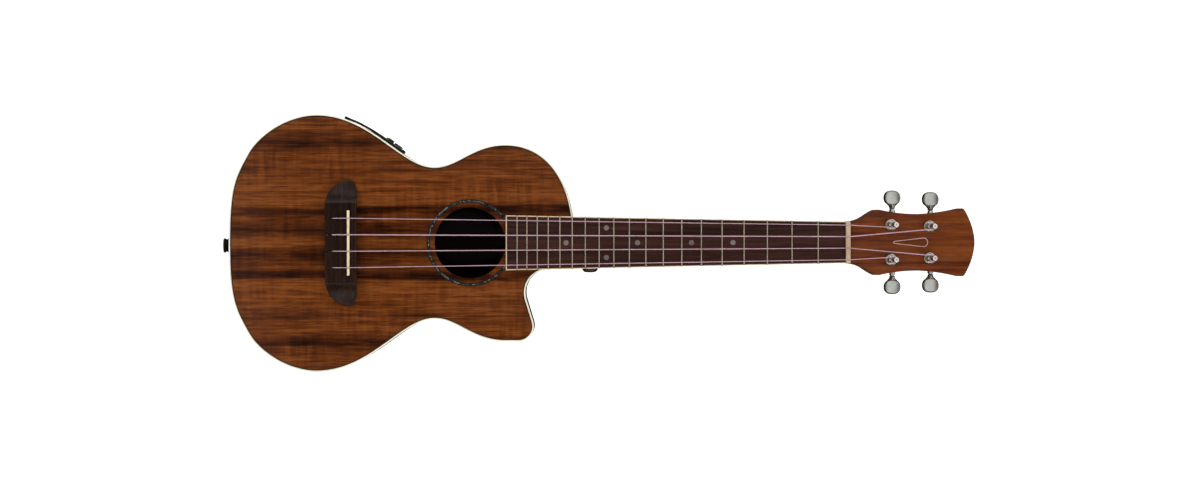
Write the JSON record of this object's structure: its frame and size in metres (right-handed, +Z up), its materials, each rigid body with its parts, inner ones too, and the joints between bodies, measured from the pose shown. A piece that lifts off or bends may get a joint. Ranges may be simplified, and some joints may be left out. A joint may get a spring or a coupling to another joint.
{
  "type": "tenor ukulele",
  "caption": "Tenor ukulele with a cutaway body, fretted neck, tilted head with worm-geared tuners, pinless bridge, endpin jack and a side preamp.",
  "frame": {"origin": "below the middle of the instrument's bounding box, on the plane its back rests on", "axes": "+X towards the head, +Y to the bass side, +Z up out of the soundboard towards the strings"},
  "size_m": [0.6604, 0.2264, 0.0776],
  "materials": {
    "koa_top": "gloss",
    "koa_side": "gloss",
    "mahogany": "satin",
    "spruce": "matte",
    "rosewood": "satin",
    "cream_plastic": "gloss",
    "bone": "satin",
    "pearl": "gloss",
    "nylon": "gloss",
    "chrome": "polished",
    "brass": "satin",
    "black_plastic": "satin",
    "black_metal": "gloss"
  },
  "bodies": {
    "instrument": {"soundboard": "koa_top", "back_plate": "koa_side", "side_treble": "koa_side", "side_bass": "koa_side", "binding_top": "cream_plastic", "binding_back": "cream_plastic", "lining_top": "spruce", "lining_back": "spruce", "tail_block": "mahogany", "neck_block": "mahogany", "brace_top_upper": "spruce", "brace_top_lower": "spruce", "fan_bracing": "spruce", "back_bracing": "spruce", "rosette": "pearl", "bridge": "rosewood", "pickup_strip": "brass", "saddle": "bone", "neck": "mahogany", "heel_cap": "cream_plastic", "fretboard": "rosewood", "nut": "bone", "string_1": "nylon", "string_2": "nylon", "string_3": "nylon", "string_4": "nylon", "preamp_panel": "black_plastic", "preamp_case": "black_plastic", "endpin_jack": "chrome", "endpin_nut": "black_metal", "strap_button": "chrome", "tuner_1_housing": "chrome", "tuner_1_bushing": "chrome", "tuner_2_housing": "chrome", "tuner_2_bushing": "chrome", "tuner_3_housing": "chrome", "tuner_3_bushing": "chrome", "tuner_4_housing": "chrome", "tuner_4_bushing": "chrome"},
    "tuner_1_key": {"tuner_1_worm_shaft": "chrome", "tuner_1_button": "chrome"},
    "tuner_1_capstan": {"tuner_1_post": "chrome", "tuner_1_gear": "brass"},
    "tuner_2_key": {"tuner_2_worm_shaft": "chrome", "tuner_2_button": "chrome"},
    "tuner_2_capstan": {"tuner_2_post": "chrome", "tuner_2_gear": "brass"},
    "tuner_3_key": {"tuner_3_worm_shaft": "chrome", "tuner_3_button": "chrome"},
    "tuner_3_capstan": {"tuner_3_post": "chrome", "tuner_3_gear": "brass"},
    "tuner_4_key": {"tuner_4_worm_shaft": "chrome", "tuner_4_button": "chrome"},
    "tuner_4_capstan": {"tuner_4_post": "chrome", "tuner_4_gear": "brass"},
    "volume_control": {"volume_knob": "black_plastic"},
    "treble_control": {"treble_knob": "black_plastic"},
    "bass_control": {"bass_knob": "black_plastic"},
    "tuner_switch": {"tuner_key": "black_plastic"},
    "battery_cover": {"battery_door": "black_plastic"}
  },
  "joints": [
    {"name": "tuner_1_turn", "type": "hinge", "parent": "instrument", "child": "tuner_1_key", "pos_m": [0.25726, 0.01535, 0.03787], "axis": [0, 1, 0], "continuous": true},
    {"name": "tuner_1_wind", "type": "hinge", "parent": "instrument", "child": "tuner_1_capstan", "pos_m": [0.25028, 0.01535, 0.03961], "axis": [0.2419, 0, 0.9703], "continuous": true},
    {"name": "tuner_2_turn", "type": "hinge", "parent": "instrument", "child": "tuner_2_key", "pos_m": [0.2918, 0.01405, 0.02925], "axis": [0, 1, 0], "continuous": true},
    {"name": "tuner_2_wind", "type": "hinge", "parent": "instrument", "child": "tuner_2_capstan", "pos_m": [0.28482, 0.01405, 0.031], "axis": [0.2419, 0, 0.9703], "continuous": true},
    {"name": "tuner_3_turn", "type": "hinge", "parent": "instrument", "child": "tuner_3_key", "pos_m": [0.2918, -0.01405, 0.02925], "axis": [0, -1, 0], "continuous": true},
    {"name": "tuner_3_wind", "type": "hinge", "parent": "instrument", "child": "tuner_3_capstan", "pos_m": [0.28482, -0.01405, 0.031], "axis": [0.2419, 0, 0.9703], "continuous": true},
    {"name": "tuner_4_turn", "type": "hinge", "parent": "instrument", "child": "tuner_4_key", "pos_m": [0.25726, -0.01535, 0.03787], "axis": [0, -1, 0], "continuous": true},
    {"name": "tuner_4_wind", "type": "hinge", "parent": "instrument", "child": "tuner_4_capstan", "pos_m": [0.25028, -0.01535, 0.03961], "axis": [0.2419, 0, 0.9703], "continuous": true},
    {"name": "volume_knob_turn", "type": "hinge", "parent": "instrument", "child": "volume_control", "pos_m": [-0.18039, 0.08314, 0.0415], "axis": [0.5785, 0.8157, 0], "range_deg": [-150, 150]},
    {"name": "treble_knob_turn", "type": "hinge", "parent": "instrument", "child": "treble_control", "pos_m": [-0.18039, 0.08314, 0.0245], "axis": [0.5785, 0.8157, 0], "range_deg": [-150, 150]},
    {"name": "bass_knob_turn", "type": "hinge", "parent": "instrument", "child": "bass_control", "pos_m": [-0.18739, 0.08809, 0.0415], "axis": [0.5752, 0.818, 0], "range_deg": [-150, 150]},
    {"name": "tuner_key_press", "type": "slide", "parent": "instrument", "child": "tuner_switch", "axis": [-0.5752, -0.818, 0], "range_m": [0, 0.0008], "stiffness_N_per_m": 400, "springref_m": -0.0004},
    {"name": "battery_door_swing", "type": "hinge", "parent": "instrument", "child": "battery_cover", "pos_m": [-0.20823, 0.10306, 0.033], "axis": [0, 0, -1], "range_deg": [0, 90]}
  ],
  "couplings": [
    {"joint": "tuner_1_wind", "follows": "tuner_1_turn", "ratio": -0.071429},
    {"joint": "tuner_2_wind", "follows": "tuner_2_turn", "ratio": -0.071429},
    {"joint": "tuner_3_wind", "follows": "tuner_3_turn", "ratio": -0.071429},
    {"joint": "tuner_4_wind", "follows": "tuner_4_turn", "ratio": -0.071429}
  ]
}
